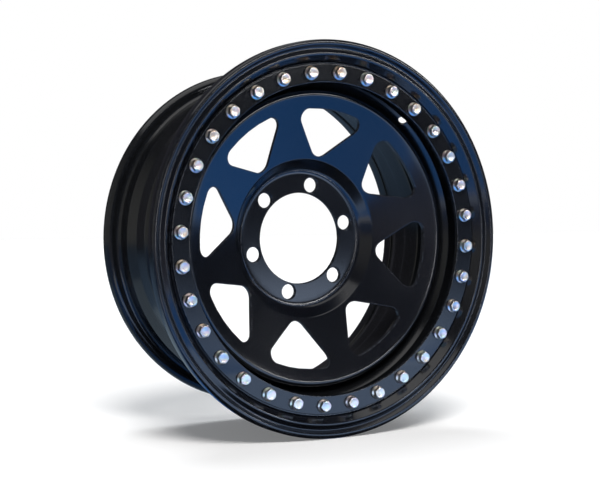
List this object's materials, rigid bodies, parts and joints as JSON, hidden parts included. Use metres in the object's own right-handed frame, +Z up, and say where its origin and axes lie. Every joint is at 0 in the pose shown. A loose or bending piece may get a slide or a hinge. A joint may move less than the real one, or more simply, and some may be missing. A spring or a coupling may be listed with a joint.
{
  "type": "simulated beadlock wheel",
  "caption": "Black steel off-road car wheel with a windowed disc and a bolted ring round its front that imitates a beadlock.",
  "frame": {"origin": "centre of the hub bore, in the rear face of the disc that sits on the hub", "axes": "+Y along the wheel's axis to the rear, towards the car; the front with the bolt ring faces -Y; +Z up, +X to the right seen from the front"},
  "size_m": [0.4889, 0.208, 0.489],
  "materials": {
    "rim_paint": "satin black paint over rolled steel",
    "disc_paint": "smooth black paint with a blue cast over pressed steel",
    "ring_paint": "gloss black paint over formed sheet steel",
    "plate_paint": "satin black paint over flat sheet steel",
    "zinc_bolts": "bright zinc plate with a faint rainbow tint",
    "weld_paint": "black paint over rippled weld bead"
  },
  "bodies": {
    "root": {"rim_barrel": "rim_paint", "centre_disc": "disc_paint", "front_ring": "ring_paint", "ring_plate": "plate_paint", "ring_bolts": "zinc_bolts", "disc_weld": "weld_paint", "ring_weld": "weld_paint"}
  },
  "joints": []
}
